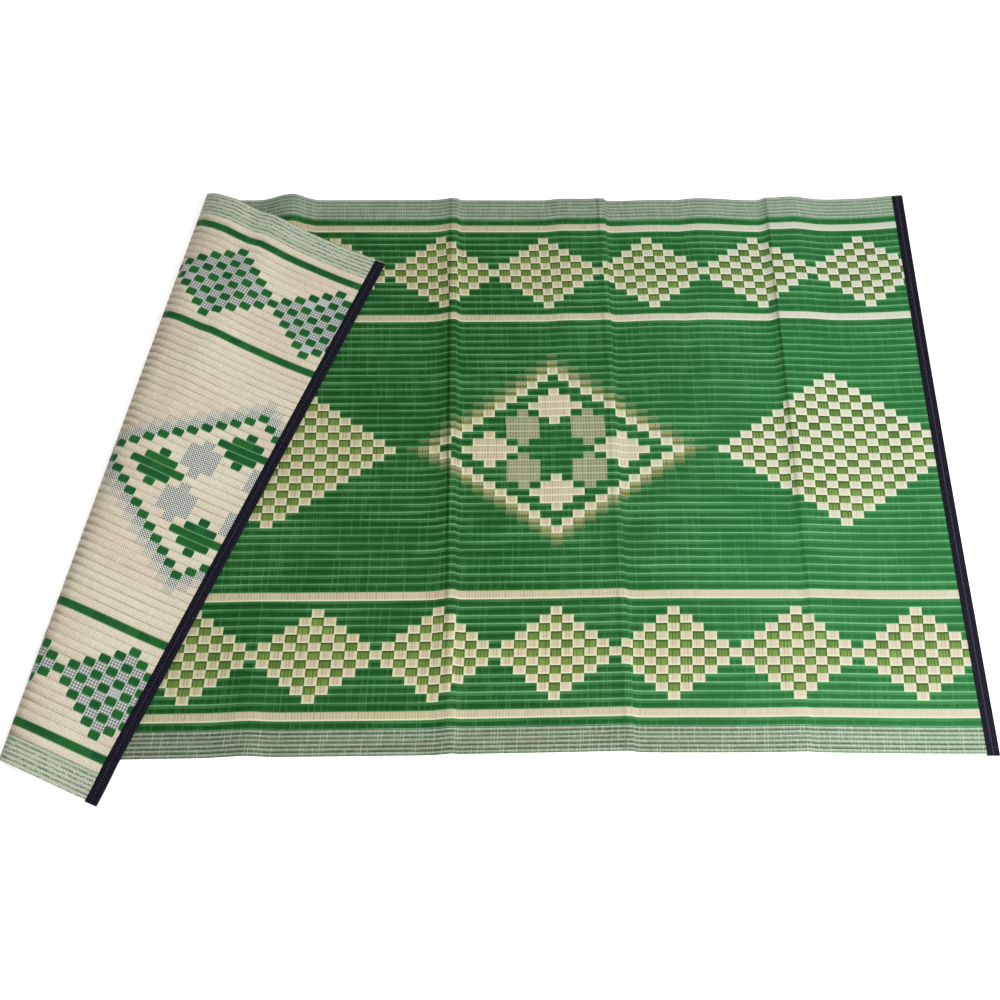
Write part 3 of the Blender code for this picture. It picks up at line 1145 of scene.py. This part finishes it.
def spaced_shares(gap, fine_start, fine_end):
    """Shares of a gap, close together near a crease at either end of it."""
    places = [0.0]
    while places[-1] < gap:
        here = places[-1]
        from_start = here if fine_start else gap
        to_end = gap - here if fine_end else gap
        near_line = min(from_start, to_end) / NEAR_CREASE
        places.append(here + FINE_COLUMN + (WIDE_COLUMN - FINE_COLUMN) * min(near_line, 1.0))
    return [place / places[-1] for place in places]


def column_places():
    """Places along the mat as pairs, at the front and at the back edge, closer by creases and the bend."""
    lines = []
    for crease in CREASES:
        tops = (-RIDGE_TOP, RIDGE_TOP) if crease.sharp else (0.0,)
        lines += [(crease.front + top, crease.back + top) for top in tops]
    turn_front = FOLD_ALONG + FRONT * math.tan(FOLD_TILT)
    turn_back = FOLD_ALONG + BACK * math.tan(FOLD_TILT)
    stops = [(0.0, 0.0), (turn_front, turn_back)] + [line for line in lines if line[0] < LENGTH]
    stops += [(LENGTH, LENGTH)]
    found = [stops[0]]
    for start, end in zip(stops, stops[1:]):
        gap = max(end[0] - start[0], end[1] - start[1])
        shares = spaced_shares(gap, start is not stops[0], end is not stops[-1])
        for share in shares[1:]:
            found.append(tuple(a + (b - a) * share for a, b in zip(start, end)))
    return np.array(found)


columns = column_places()
print(len(columns), "columns")

# %% Rows of the sheet
ROWS_IN_RIB = (0.0, 0.26, 0.62, 0.88)
ROWS_IN_SELVEDGE = (0.0, 0.25, 0.5, 0.75)


def row_places():
    steps = []
    for rib in range(RIB_COUNT):
        in_selvedge = abs(rib - RIB_COUNT // 2) > SELVEDGE_RIB
        steps += [rib + share for share in (ROWS_IN_SELVEDGE if in_selvedge else ROWS_IN_RIB)]
    return BACK - np.array(steps + [RIB_COUNT]) * RIB_PITCH


rows = row_places()
faces = 2 * (len(columns) - 1) * (len(rows) - 1)
print(f"{len(rows)} rows, so {2 * faces} triangles")

# %% Points of the shell
HALF_SHEET = 0.0007
KINK_REACH = 0.0021
SOFT_REACH = 0.018
FOLD_REACH = 0.034
HIGH_CREASE = 0.010


def shell_points():
    across = np.tile(rows, (len(columns), 1))
    along = trimmed(between(columns[:, :1], columns[:, 1:], across), across)
    laid = spaced(along, across)
    middle = lie(along, laid)
    out = outwards(along, laid) * HALF_SHEET
    places = np.concatenate([(middle + out).reshape(-1, 3), (middle - out).reshape(-1, 3)])
    weave = np.stack([block_place(along, across), rib_place(across)], axis=-1).reshape(-1, 2)
    return places, weave, bend_shade_mask(along, across).ravel()


def bend_shade_mask(along, across):
    """How much the sheet has been bent, at the left of its sharp creases, by the fold, and past it: where
    painted shade goes.
    """
    found = np.exp(-((round_bend(along, across)[0] / FOLD_REACH) ** 2))
    bent = [(crease, KINK_REACH, RIDGE_TOP) for crease in CREASES if crease.sharp]
    bent += [(crease, SOFT_REACH, 0.0) for crease in FOLDED_CREASES]
    for crease, reach, to_left in bent:
        offset = (along - between(crease.front, crease.back, across) + to_left) / reach
        height = crease_height(crease, across) / HIGH_CREASE
        found = np.maximum(found, np.minimum(height, 1) ** 3 * np.exp(-(offset**2)))
    return found


places, weave, bend_shade_values = shell_points()
print(f"the sheet stands {places[:, 2].max() * 1000:.0f} mm high at its bend")


# %% Helpers that make a mesh
def mesh_object(name, places, polygons, edges=()):
    mesh = bpy.data.meshes.new(name)
    mesh.from_pydata(places.tolist(), edges, polygons)
    made = bpy.data.objects.new(name, mesh)
    bpy.context.scene.collection.objects.link(made)
    return made


def set_uv(mesh, layer, uv_of_point):
    """Writes each point's pair of numbers to its face corners."""
    corner_points = np.zeros(len(mesh.loops), dtype=np.int32)
    mesh.loops.foreach_get("vertex_index", corner_points)
    uv_layer = mesh.uv_layers.new(name=layer)
    uv_layer.data.foreach_set("uv", uv_of_point[corner_points].astype(np.float32).ravel())


def point_values(mesh, name, values):
    """Stores one number for each point of one side, and again for the other side."""
    made = mesh.attributes.new(name, "FLOAT", "POINT")
    made.data.foreach_set("value", np.tile(values, 2).astype(np.float32))


print("meshes can now be made from points, and given a UV map")


# %% Build the closed shell
def shell_faces():
    """Four corners of each face: the face's, the reverse's, and the rim that joins them."""
    count = len(columns) * len(rows)
    grid = np.arange(count).reshape(len(columns), len(rows))
    quads = np.stack([grid[:-1, :-1], grid[:-1, 1:], grid[1:, 1:], grid[1:, :-1]], axis=-1).reshape(-1, 4)
    round_edge = np.concatenate([grid[0, :-1], grid[:-1, -1], grid[-1, :0:-1], grid[:0:-1, 0]])
    after = np.roll(round_edge, -1)
    rim = np.stack([after, round_edge, round_edge + count, after + count], axis=-1)
    return quads, quads[:, ::-1] + count, rim


face_quads, reverse_quads, rim_quads = shell_faces()
woven = mesh_object("woven_mat", places, np.concatenate([face_quads, reverse_quads, rim_quads]).tolist())
set_uv(woven.data, "weave", np.concatenate([weave, weave]))
point_values(woven.data, "rib", weave[:, 1])
point_values(woven.data, "bend_shade", bend_shade_values)
on_reverse = woven.data.attributes.new("on_reverse", "BOOLEAN", "FACE")
is_reverse = [False] * len(face_quads) + [True] * len(reverse_quads) + [False] * len(rim_quads)
on_reverse.data.foreach_set("value", is_reverse)
print(f"the sheet has {len(woven.data.polygons)} faces")

# %% [markdown]
# ## The ribs stand up
# A rule gives the ribs their shape: each rises from the line behind it and falls to the line before it,
# and the single straws at the long edges do so twice as often. Geometry Nodes suit that well. The tree
# reads the rib coordinate, works out a bulge, and moves each point out along its normal. It also gives
# each side its material.

# %% Helpers for Geometry Nodes
def geometry_tree(name, **inputs):
    """An empty tree with named inputs beside its geometry. Returns it, their sockets and the result's."""
    tree = bpy.data.node_groups.new(name, "GeometryNodeTree")
    sockets = [("Geometry", "INPUT", "Geometry"), ("Geometry", "OUTPUT", "Geometry")]
    sockets += [(socket_name, "INPUT", kind) for socket_name, kind in inputs.items()]
    for socket_name, way, kind in sockets:
        tree.interface.new_socket(socket_name, in_out=way, socket_type="NodeSocket" + kind)
    source = tree.nodes.new("NodeGroupInput")
    return tree, source.outputs, tree.nodes.new("NodeGroupOutput").inputs[0]


def attribute(tree, name, kind):
    return added(tree, "GeometryNodeInputNamedAttribute", {"Name": name}, data_type=kind)


def grown(piece, tree, **given):
    """Runs a tree on a piece with the given inputs, and keeps the result as the piece's own mesh."""
    modifier = piece.modifiers.new(tree.name, "NODES")
    modifier.node_group = tree
    for socket in tree.interface.items_tree:
        if socket.in_out == "INPUT" and socket.name in given:
            modifier[socket.identifier] = given[socket.name]
    depsgraph = bpy.context.evaluated_depsgraph_get()
    mesh = bpy.data.meshes.new_from_object(piece.evaluated_get(depsgraph), depsgraph=depsgraph)
    piece.modifiers.remove(modifier)
    piece.data = mesh


print("a tree's result can now be kept as a plain mesh")

# %% The tree that raises the ribs
BULGE = 0.0003
SHARP_ANGLE = math.radians(50)


def rib_tree():
    kinds = {"Bulge": "Float", "Selvedge": "Float", "Face": "Material", "Reverse": "Material"}
    tree, given, result = geometry_tree("ribs of the mat", **kinds)
    rib = Number(tree, attribute(tree, "rib", "FLOAT"))
    turns = (rib + 0.5) * (1 + (abs(rib) > Number(tree, given["Selvedge"])))
    bulge = (turns.math("FRACT") * math.pi).math("SINE") * Number(tree, given["Bulge"])
    normal = added(tree, "GeometryNodeInputNormal", {})
    offset = added(tree, "ShaderNodeVectorMath", {0: normal, "Scale": bulge}, operation="SCALE")
    raised = added(tree, "GeometryNodeSetPosition", {"Geometry": given["Geometry"], "Offset": offset})
    real = added(tree, "GeometryNodeRealizeInstances", {0: raised})
    face = added(tree, "GeometryNodeSetMaterial", {0: real, "Material": given["Face"]})
    reverse = {0: face, "Selection": attribute(tree, "on_reverse", "BOOLEAN"), "Material": given["Reverse"]}
    feed(tree, result, added(tree, "GeometryNodeSetMaterial", reverse))
    return tree


grown(woven, rib_tree(), Bulge=BULGE, Selvedge=SELVEDGE_RIB, Face=FACE, Reverse=REVERSE)
woven.data.shade_smooth()
woven.data.set_sharp_from_angle(angle=SHARP_ANGLE)
print("materials on the sheet:", [material.name for material in woven.data.materials])

# %% [markdown]
# ## The binding tapes
# A strip of woven tape is folded round each cut end and sewn through, so the straws can't slip out. Its
# section is a narrow U: two flat sides with a soft ridge either side of the seam, and a nose past the
# end. Sweeping that section along the cut gives the tape, and as each point is placed with the mat's own
# folds, the tape lies on them.

# %% The tape's section
TAPE_INNER = 0.00125
TAPE_OUTER = 0.0022
TAPE_RIDGE = 0.00248
TAPE_SEAM = 0.0019
TAPE_NOSE = 0.0012
TAPE_PAST_FRONT = 0.003
TAPE_PAST_BACK = -0.003
TAPE_STATIONS = 180
OUTSIDE = (
    (-TAPE_WIDTH, 0.00175),
    (-0.0194, TAPE_OUTER),
    (-0.0165, TAPE_RIDGE),
    (-0.0130, TAPE_OUTER),
    (-0.0110, TAPE_OUTER),
    (-0.0100, TAPE_SEAM),
    (-0.0090, TAPE_OUTER),
    (-0.0070, TAPE_OUTER),
    (-0.0035, TAPE_RIDGE),
    (-0.0005, TAPE_OUTER),
    (0.0007, 0.0016),
    (TAPE_NOSE, 0.0006),
)


def tape_section():
    """Points round the section as pairs: past the cut, and out of the sheet."""
    under = [(past, -out) for past, out in reversed(OUTSIDE)]
    inside = [(-TAPE_WIDTH, -TAPE_INNER), (0.0, -TAPE_INNER), (0.0, TAPE_INNER), (-TAPE_WIDTH, TAPE_INNER)]
    return np.array(list(OUTSIDE) + under + inside)


print("the tape's section has", len(tape_section()), "points")


# %% Sweep the section along both cuts
def tape_object(name, at_flat_end):
    """The section at each station across the mat, joined to the next, with a cap at both ends."""
    section = tape_section()
    across = np.linspace(FRONT - TAPE_PAST_FRONT, BACK + TAPE_PAST_BACK, TAPE_STATIONS)[:, None]
    past = section[None, :, 0]
    along = trimmed(LENGTH + past if at_flat_end else -past, across)
    across = np.broadcast_to(across, along.shape)
    places = lie(along, across) + outwards(along, across) * section[None, :, 1:]
    count = len(section)
    grid = np.arange(TAPE_STATIONS * count).reshape(TAPE_STATIONS, count)
    after = np.roll(grid, -1, axis=1)
    quads = np.stack([grid[:-1], after[:-1], after[1:], grid[1:]], axis=-1).reshape(-1, 4)
    polygons = quads.tolist() + [grid[0, ::-1].tolist(), grid[-1].tolist()]
    if not at_flat_end:
        polygons = [polygon[::-1] for polygon in polygons]
    tape = mesh_object(name, places.reshape(-1, 3), polygons)
    round_section = np.concatenate([[0], np.cumsum(np.linalg.norm(np.diff(section, axis=0), axis=1))])
    uv = np.stack([across, np.broadcast_to(round_section, along.shape)], axis=-1).reshape(-1, 2)
    set_uv(tape.data, "tape", uv)
    tape.data.shade_smooth()
    tape.data.set_sharp_from_angle(angle=SHARP_ANGLE)
    return tape


tape_flat = tape_object("tape_flat_end", True)
tape_folded = tape_object("tape_folded_end", False)
print("each tape has", len(tape_flat.data.polygons), "faces")

# %% [markdown]
# ## The tape's material
# The tape is nearly black, with a hint of violet blue. Fine cords run across it, and their crests are
# painted paler in small dots, a painted highlight. A lighter strip of the sewing thread and fluff runs
# along the seam.

# %% Dye and cords of the tape
TAPE_NAVY = tone(9, 7, 18)
TAPE_DUST_AND_SHEEN = tone(60, 56, 78)
CORD_PITCH = 0.0011
WEFT_PITCH = 0.8 * CORD_PITCH
DUST_SCALE = (160.0, 420.0)
CORD_DEPTH = 0.00016
CORD_SHARE = 0.7
TAPE_ROUGHNESS = (0.55, 0.35)
SEAM_PLACE = 0.0101
SEAM_REACH = 0.0022


def tape_material():
    material, tree = material_for("woven_tape")
    across, round_section = weave_place(tree, "tape")
    cord = (across * (math.tau / CORD_PITCH)).math("SINE") * 0.5 + 0.5
    weft = (round_section * (math.tau / WEFT_PITCH)).math("SINE") * 0.5 + 0.5
    dust = drift(across * DUST_SCALE[0], round_section * DUST_SCALE[1], detail=3.0)
    seam = near(round_section, SEAM_PLACE, SEAM_REACH)
    # The cords' crests are a painted highlight; the pale patches are dust, and the seam strip is thread and
    # fluff.
    pale = cord * 0.2 + eased(dust, 0.45, 0.8) * 0.5 + seam * 0.4
    colour = blend(tree, pale, TAPE_NAVY, TAPE_DUST_AND_SHEEN)
    rough = TAPE_ROUGHNESS[0] + dust * TAPE_ROUGHNESS[1]
    set_surface(tree, colour, rough, cord * CORD_SHARE + weft * (1 - CORD_SHARE), CORD_DEPTH)
    return material


TAPE = tape_material()
for tape in (tape_flat, tape_folded):
    tape.data.materials.append(TAPE)
print("tape material:", len(TAPE.node_tree.nodes), "nodes")

# %% [markdown]
# ## The stitches
# One row of machine stitches holds each tape, and shows on both of its sides. A stitch repeats at an even
# step along a path, which is what Geometry Nodes do best: the path becomes a curve, the curve is cut into
# even steps, and a small rounded stitch is set on every point, turned along the seam.

# %% Seam paths
SEAM_ABOVE = 0.00205
SEAM_INWARDS = 0.010


def seam_paths():
    """Chains of points along the seams, on both sides of both tapes, with the way out of the tape."""
    across = np.linspace(FRONT, BACK, TAPE_STATIONS)
    points, ways, edges = [], [], []
    for end in (LENGTH - SEAM_INWARDS, SEAM_INWARDS):
        along = trimmed(np.full_like(across, end), across)
        out = outwards(along, across)
        for side in (1.0, -1.0):
            first = len(points) * TAPE_STATIONS
            points.append(lie(along, across) + out * SEAM_ABOVE * side)
            ways.append(out * side)
            edges += [(first + n, first + n + 1) for n in range(TAPE_STATIONS - 1)]
    return np.concatenate(points), np.concatenate(ways), edges


seam_points, seam_ways, seam_edges = seam_paths()
stitches = mesh_object("stitches", seam_points, [], seam_edges)
way_out = stitches.data.attributes.new("way_out", "FLOAT_VECTOR", "POINT")
way_out.data.foreach_set("vector", seam_ways.astype(np.float32).ravel())
print("the seams have", len(seam_points), "points")

# %% The stitch tree
STITCH_STEP = 0.0052
STITCH_LENGTH = 0.0036
STITCH_WIDTH = 0.0007
STITCH_SIDES = 6
STITCH_RINGS = 4


def stitch_tree():
    kinds = {"Step": "Float", "Length": "Float", "Width": "Float", "Thread": "Material"}
    tree, given, result = geometry_tree("stitches of the tapes", **kinds)
    path = added(tree, "GeometryNodeMeshToCurve", {0: given["Geometry"]})
    even = {"Curve": path, "Length": given["Step"]}
    shape = {"Segments": STITCH_SIDES, "Rings": STITCH_RINGS, "Radius": 0.5}
    sizes = {0: given["Length"], 1: given["Width"], 2: given["Width"]}
    turn = "FunctionNodeAlignRotationToVector"
    upright = added(tree, turn, {"Vector": attribute(tree, "way_out", "FLOAT_VECTOR")}, axis="Z")
    along_seam = {"Rotation": upright, "Vector": added(tree, "GeometryNodeInputTangent", {})}
    copies = {
        "Points": added(tree, "GeometryNodeResampleCurve", even, mode="LENGTH"),
        "Instance": added(tree, "GeometryNodeMeshUVSphere", shape),
        "Rotation": added(tree, turn, along_seam, axis="X", pivot_axis="Z"),
        "Scale": added(tree, "ShaderNodeCombineXYZ", sizes),
    }
    stitched = added(tree, "GeometryNodeInstanceOnPoints", copies)
    real = added(tree, "GeometryNodeRealizeInstances", {0: stitched})
    feed(tree, result, added(tree, "GeometryNodeSetMaterial", {0: real, "Material": given["Thread"]}))
    return tree


STITCHING = stitch_tree()
print("the stitch tree has", len(STITCHING.nodes), "nodes")

# %% The thread, and the finished stitches
THREAD_GREY = tone(60, 56, 76)
THREAD_PALE = tone(124, 120, 142)
TWIST_SCALE = 900.0
THREAD_ROUGHNESS = (0.45, 0.3)


def thread_material():
    """Thread whose twist shows as fine light and dark."""
    material, tree = material_for("sewing_thread")
    inputs = {"Scale": TWIST_SCALE, "Vector": added(tree, "ShaderNodeTexCoord", {}, "Object")}
    twist = Number(tree, added(tree, "ShaderNodeTexNoise", inputs, "Fac"))
    rough = THREAD_ROUGHNESS[0] + twist * THREAD_ROUGHNESS[1]
    set_shader(tree, {"Base Color": blend(tree, twist, THREAD_GREY, THREAD_PALE), "Roughness": rough})
    return material


sizes = {"Step": STITCH_STEP, "Length": STITCH_LENGTH, "Width": STITCH_WIDTH}
grown(stitches, STITCHING, Thread=thread_material(), **sizes)
stitches.data.shade_smooth()
print("the stitches have", len(stitches.data.polygons), "faces")

# %% [markdown]
# ## Floor and light
# A pale sky gives soft light from everywhere, and one large soft lamp, near the mat and to its right and
# front, makes that side brighter and shows the creases. The lamp's light falls off towards the left, so the
# floor is a lit table with a weak glow of its own, which keeps it white all round.

# %% Lay the floor
FLOOR_SIZE = 14.0
FLOOR_TONE = 0.9
FLOOR_ROUGHNESS = 0.9
FLOOR_GLOW = 0.6
WHITE = (1.0, 1.0, 1.0, 1.0)

half = FLOOR_SIZE / 2
floor_corners = np.array([(-half, -half, 0), (half, -half, 0), (half, half, 0), (-half, half, 0)])
floor = mesh_object("floor", floor_corners, [(0, 1, 2, 3)])
floor_material, floor_tree = material_for("pale_floor")
pale = (FLOOR_TONE, FLOOR_TONE, FLOOR_TONE, 1.0)
set_shader(floor_tree, {"Base Color": pale, "Roughness": FLOOR_ROUGHNESS})
set_shader(floor_tree, {"Emission Color": WHITE, "Emission Strength": FLOOR_GLOW})
floor.data.materials.append(floor_material)
print(f"the floor is {FLOOR_SIZE:.0f} m wide")

# %% Light the sky, and hang the lamp
SKY_STRENGTH = 0.34
LAMP_PLACE = Vector((1.1, -1.0, 1.9))
LAMP_SIZE = 1.5
LAMP_POWER = 50.0

world = bpy.data.worlds.new("pale sky")
world.use_nodes = True
feed_all(world.node_tree, world.node_tree.nodes["Background"], {"Color": WHITE, "Strength": SKY_STRENGTH})
bpy.context.scene.world = world

lamp_data = bpy.data.lights.new("soft lamp", "AREA")
lamp_data.shape = "DISK"
lamp_data.size = LAMP_SIZE
lamp_data.energy = LAMP_POWER
lamp = bpy.data.objects.new("soft lamp", lamp_data)
lamp.location = LAMP_PLACE
lamp.rotation_euler = (-LAMP_PLACE).to_track_quat("-Z", "Y").to_euler()
lamp.visible_camera = False
bpy.context.scene.collection.objects.link(lamp)
bpy.context.scene.view_settings.view_transform = "Standard"
print("lamp at", [round(value, 2) for value in LAMP_PLACE])

# %% [markdown]
# ## Hang each piece on the body
# Each piece rides on the imported part's one body and stands for the solid that it dresses, which is
# hidden.
# The stitches ride on the body as well.

dressed = ((woven, "mat_cloth"), (tape_flat, "binding_flat_end"), (tape_folded, "binding_folded_end"))
for piece, node in dressed:
    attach(piece, "root")
    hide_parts(node)
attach(stitches, "root")
print("pieces:", [piece.name for piece in (woven, tape_flat, tape_folded, stitches)])
